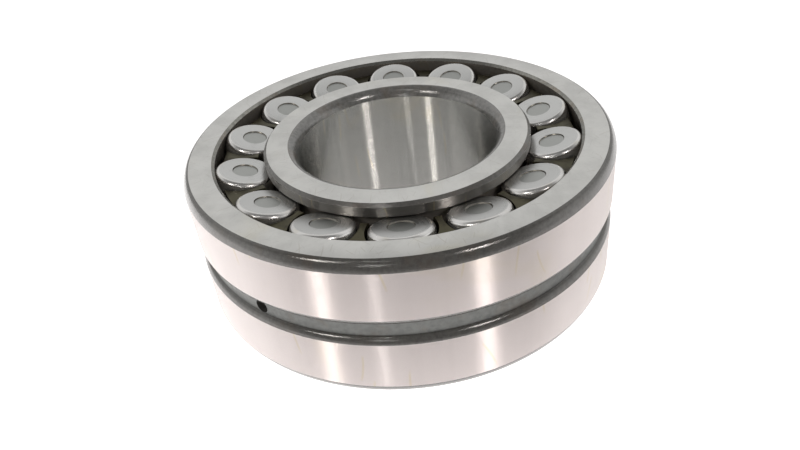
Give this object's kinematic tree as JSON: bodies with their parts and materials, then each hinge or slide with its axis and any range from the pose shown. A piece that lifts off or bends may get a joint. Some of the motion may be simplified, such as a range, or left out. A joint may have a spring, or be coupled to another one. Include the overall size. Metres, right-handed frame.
{
  "type": "spherical roller bearing",
  "caption": "Self-aligning bearing with barrel rollers in a brass comb cage, open sides, straight bore and a lubrication groove with oil holes; the inner ring spins and tilts.",
  "frame": {"origin": "the bearing's centre: on the axis, midway between the side faces", "axes": "+Z along the bearing axis, X and Y in the middle plane; the bearing lies flat on its lower side face"},
  "size_m": [0.16, 0.16, 0.055],
  "materials": {
    "ring_steel": "ground bearing steel, satin side faces, bright ground bore and outside, polished raceway",
    "roller_steel": "fine-ground bearing steel, satin ends, polished barrel and corners",
    "guide_steel": "turned steel, lightly oiled",
    "cage_brass": "machined brass, oiled, slightly tarnished"
  },
  "bodies": {
    "outer_ring": {"outer_ring": "ring_steel"},
    "guide_ring": {"guide_ring": "guide_steel"},
    "inner_ring": {"inner_ring": "ring_steel"},
    "cage": {"cage": "cage_brass"},
    "upper_roller_01": {"upper_roller_01": "roller_steel"},
    "upper_roller_02": {"upper_roller_02": "roller_steel"},
    "upper_roller_03": {"upper_roller_03": "roller_steel"},
    "upper_roller_04": {"upper_roller_04": "roller_steel"},
    "upper_roller_05": {"upper_roller_05": "roller_steel"},
    "upper_roller_06": {"upper_roller_06": "roller_steel"},
    "upper_roller_07": {"upper_roller_07": "roller_steel"},
    "upper_roller_08": {"upper_roller_08": "roller_steel"},
    "upper_roller_09": {"upper_roller_09": "roller_steel"},
    "upper_roller_10": {"upper_roller_10": "roller_steel"},
    "upper_roller_11": {"upper_roller_11": "roller_steel"},
    "upper_roller_12": {"upper_roller_12": "roller_steel"},
    "upper_roller_13": {"upper_roller_13": "roller_steel"},
    "upper_roller_14": {"upper_roller_14": "roller_steel"},
    "lower_roller_01": {"lower_roller_01": "roller_steel"},
    "lower_roller_02": {"lower_roller_02": "roller_steel"},
    "lower_roller_03": {"lower_roller_03": "roller_steel"},
    "lower_roller_04": {"lower_roller_04": "roller_steel"},
    "lower_roller_05": {"lower_roller_05": "roller_steel"},
    "lower_roller_06": {"lower_roller_06": "roller_steel"},
    "lower_roller_07": {"lower_roller_07": "roller_steel"},
    "lower_roller_08": {"lower_roller_08": "roller_steel"},
    "lower_roller_09": {"lower_roller_09": "roller_steel"},
    "lower_roller_10": {"lower_roller_10": "roller_steel"},
    "lower_roller_11": {"lower_roller_11": "roller_steel"},
    "lower_roller_12": {"lower_roller_12": "roller_steel"},
    "lower_roller_13": {"lower_roller_13": "roller_steel"},
    "lower_roller_14": {"lower_roller_14": "roller_steel"}
  },
  "joints": [
    {"name": "misalignment", "type": "hinge", "parent": "outer_ring", "child": "guide_ring", "pos_m": [0, 0, 0], "axis": [1, 0, 0], "range_deg": [-3, 3]},
    {"name": "inner_ring_spin", "type": "hinge", "parent": "guide_ring", "child": "inner_ring", "pos_m": [0, 0, 0], "axis": [0, 0, 1], "continuous": true},
    {"name": "cage_spin", "type": "hinge", "parent": "guide_ring", "child": "cage", "pos_m": [0, 0, 0], "axis": [0, 0, 1], "continuous": true},
    {"name": "upper_roller_01_spin", "type": "hinge", "parent": "cage", "child": "upper_roller_01", "pos_m": [-0.00167, -0.05971, 0.01401], "axis": [0.0064, 0.2283, 0.9736], "continuous": true},
    {"name": "upper_roller_02_spin", "type": "hinge", "parent": "cage", "child": "upper_roller_02", "pos_m": [0.0244, -0.05452, 0.01401], "axis": [-0.0933, 0.2084, 0.9736], "continuous": true},
    {"name": "upper_roller_03_spin", "type": "hinge", "parent": "cage", "child": "upper_roller_03", "pos_m": [0.04564, -0.03853, 0.01401], "axis": [-0.1745, 0.1473, 0.9736], "continuous": true},
    {"name": "upper_roller_04_spin", "type": "hinge", "parent": "cage", "child": "upper_roller_04", "pos_m": [0.05784, -0.01491, 0.01401], "axis": [-0.2211, 0.057, 0.9736], "continuous": true},
    {"name": "upper_roller_05_spin", "type": "hinge", "parent": "cage", "child": "upper_roller_05", "pos_m": [0.05858, 0.01166, 0.01401], "axis": [-0.224, -0.0446, 0.9736], "continuous": true},
    {"name": "upper_roller_06_spin", "type": "hinge", "parent": "cage", "child": "upper_roller_06", "pos_m": [0.04772, 0.03592, 0.01401], "axis": [-0.1824, -0.1373, 0.9736], "continuous": true},
    {"name": "upper_roller_07_spin", "type": "hinge", "parent": "cage", "child": "upper_roller_07", "pos_m": [0.02741, 0.05307, 0.01401], "axis": [-0.1048, -0.2029, 0.9736], "continuous": true},
    {"name": "upper_roller_08_spin", "type": "hinge", "parent": "cage", "child": "upper_roller_08", "pos_m": [0.00167, 0.05971, 0.01401], "axis": [-0.0064, -0.2283, 0.9736], "continuous": true},
    {"name": "upper_roller_09_spin", "type": "hinge", "parent": "cage", "child": "upper_roller_09", "pos_m": [-0.0244, 0.05452, 0.01401], "axis": [0.0933, -0.2084, 0.9736], "continuous": true},
    {"name": "upper_roller_10_spin", "type": "hinge", "parent": "cage", "child": "upper_roller_10", "pos_m": [-0.04564, 0.03853, 0.01401], "axis": [0.1745, -0.1473, 0.9736], "continuous": true},
    {"name": "upper_roller_11_spin", "type": "hinge", "parent": "cage", "child": "upper_roller_11", "pos_m": [-0.05784, 0.01491, 0.01401], "axis": [0.2211, -0.057, 0.9736], "continuous": true},
    {"name": "upper_roller_12_spin", "type": "hinge", "parent": "cage", "child": "upper_roller_12", "pos_m": [-0.05858, -0.01166, 0.01401], "axis": [0.224, 0.0446, 0.9736], "continuous": true},
    {"name": "upper_roller_13_spin", "type": "hinge", "parent": "cage", "child": "upper_roller_13", "pos_m": [-0.04772, -0.03592, 0.01401], "axis": [0.1824, 0.1373, 0.9736], "continuous": true},
    {"name": "upper_roller_14_spin", "type": "hinge", "parent": "cage", "child": "upper_roller_14", "pos_m": [-0.02741, -0.05307, 0.01401], "axis": [0.1048, 0.2029, 0.9736], "continuous": true},
    {"name": "lower_roller_01_spin", "type": "hinge", "parent": "cage", "child": "lower_roller_01", "pos_m": [0.01166, -0.05858, -0.01401], "axis": [0.0446, -0.224, 0.9736], "continuous": true},
    {"name": "lower_roller_02_spin", "type": "hinge", "parent": "cage", "child": "lower_roller_02", "pos_m": [0.03592, -0.04772, -0.01401], "axis": [0.1373, -0.1824, 0.9736], "continuous": true},
    {"name": "lower_roller_03_spin", "type": "hinge", "parent": "cage", "child": "lower_roller_03", "pos_m": [0.05307, -0.02741, -0.01401], "axis": [0.2029, -0.1048, 0.9736], "continuous": true},
    {"name": "lower_roller_04_spin", "type": "hinge", "parent": "cage", "child": "lower_roller_04", "pos_m": [0.05971, -0.00167, -0.01401], "axis": [0.2283, -0.0064, 0.9736], "continuous": true},
    {"name": "lower_roller_05_spin", "type": "hinge", "parent": "cage", "child": "lower_roller_05", "pos_m": [0.05452, 0.0244, -0.01401], "axis": [0.2084, 0.0933, 0.9736], "continuous": true},
    {"name": "lower_roller_06_spin", "type": "hinge", "parent": "cage", "child": "lower_roller_06", "pos_m": [0.03853, 0.04564, -0.01401], "axis": [0.1473, 0.1745, 0.9736], "continuous": true},
    {"name": "lower_roller_07_spin", "type": "hinge", "parent": "cage", "child": "lower_roller_07", "pos_m": [0.01491, 0.05784, -0.01401], "axis": [0.057, 0.2211, 0.9736], "continuous": true},
    {"name": "lower_roller_08_spin", "type": "hinge", "parent": "cage", "child": "lower_roller_08", "pos_m": [-0.01166, 0.05858, -0.01401], "axis": [-0.0446, 0.224, 0.9736], "continuous": true},
    {"name": "lower_roller_09_spin", "type": "hinge", "parent": "cage", "child": "lower_roller_09", "pos_m": [-0.03592, 0.04772, -0.01401], "axis": [-0.1373, 0.1824, 0.9736], "continuous": true},
    {"name": "lower_roller_10_spin", "type": "hinge", "parent": "cage", "child": "lower_roller_10", "pos_m": [-0.05307, 0.02741, -0.01401], "axis": [-0.2029, 0.1048, 0.9736], "continuous": true},
    {"name": "lower_roller_11_spin", "type": "hinge", "parent": "cage", "child": "lower_roller_11", "pos_m": [-0.05971, 0.00167, -0.01401], "axis": [-0.2283, 0.0064, 0.9736], "continuous": true},
    {"name": "lower_roller_12_spin", "type": "hinge", "parent": "cage", "child": "lower_roller_12", "pos_m": [-0.05452, -0.0244, -0.01401], "axis": [-0.2084, -0.0933, 0.9736], "continuous": true},
    {"name": "lower_roller_13_spin", "type": "hinge", "parent": "cage", "child": "lower_roller_13", "pos_m": [-0.03853, -0.04564, -0.01401], "axis": [-0.1473, -0.1745, 0.9736], "continuous": true},
    {"name": "lower_roller_14_spin", "type": "hinge", "parent": "cage", "child": "lower_roller_14", "pos_m": [-0.01491, -0.05784, -0.01401], "axis": [-0.057, -0.2211, 0.9736], "continuous": true}
  ],
  "couplings": [
    {"joint": "cage_spin", "follows": "inner_ring_spin", "ratio": 0.40709},
    {"joint": "upper_roller_01_spin", "follows": "inner_ring_spin", "ratio": -2.5292},
    {"joint": "upper_roller_02_spin", "follows": "inner_ring_spin", "ratio": -2.5292},
    {"joint": "upper_roller_03_spin", "follows": "inner_ring_spin", "ratio": -2.5292},
    {"joint": "upper_roller_04_spin", "follows": "inner_ring_spin", "ratio": -2.5292},
    {"joint": "upper_roller_05_spin", "follows": "inner_ring_spin", "ratio": -2.5292},
    {"joint": "upper_roller_06_spin", "follows": "inner_ring_spin", "ratio": -2.5292},
    {"joint": "upper_roller_07_spin", "follows": "inner_ring_spin", "ratio": -2.5292},
    {"joint": "upper_roller_08_spin", "follows": "inner_ring_spin", "ratio": -2.5292},
    {"joint": "upper_roller_09_spin", "follows": "inner_ring_spin", "ratio": -2.5292},
    {"joint": "upper_roller_10_spin", "follows": "inner_ring_spin", "ratio": -2.5292},
    {"joint": "upper_roller_11_spin", "follows": "inner_ring_spin", "ratio": -2.5292},
    {"joint": "upper_roller_12_spin", "follows": "inner_ring_spin", "ratio": -2.5292},
    {"joint": "upper_roller_13_spin", "follows": "inner_ring_spin", "ratio": -2.5292},
    {"joint": "upper_roller_14_spin", "follows": "inner_ring_spin", "ratio": -2.5292},
    {"joint": "lower_roller_01_spin", "follows": "inner_ring_spin", "ratio": -2.5292},
    {"joint": "lower_roller_02_spin", "follows": "inner_ring_spin", "ratio": -2.5292},
    {"joint": "lower_roller_03_spin", "follows": "inner_ring_spin", "ratio": -2.5292},
    {"joint": "lower_roller_04_spin", "follows": "inner_ring_spin", "ratio": -2.5292},
    {"joint": "lower_roller_05_spin", "follows": "inner_ring_spin", "ratio": -2.5292},
    {"joint": "lower_roller_06_spin", "follows": "inner_ring_spin", "ratio": -2.5292},
    {"joint": "lower_roller_07_spin", "follows": "inner_ring_spin", "ratio": -2.5292},
    {"joint": "lower_roller_08_spin", "follows": "inner_ring_spin", "ratio": -2.5292},
    {"joint": "lower_roller_09_spin", "follows": "inner_ring_spin", "ratio": -2.5292},
    {"joint": "lower_roller_10_spin", "follows": "inner_ring_spin", "ratio": -2.5292},
    {"joint": "lower_roller_11_spin", "follows": "inner_ring_spin", "ratio": -2.5292},
    {"joint": "lower_roller_12_spin", "follows": "inner_ring_spin", "ratio": -2.5292},
    {"joint": "lower_roller_13_spin", "follows": "inner_ring_spin", "ratio": -2.5292},
    {"joint": "lower_roller_14_spin", "follows": "inner_ring_spin", "ratio": -2.5292}
  ]
}
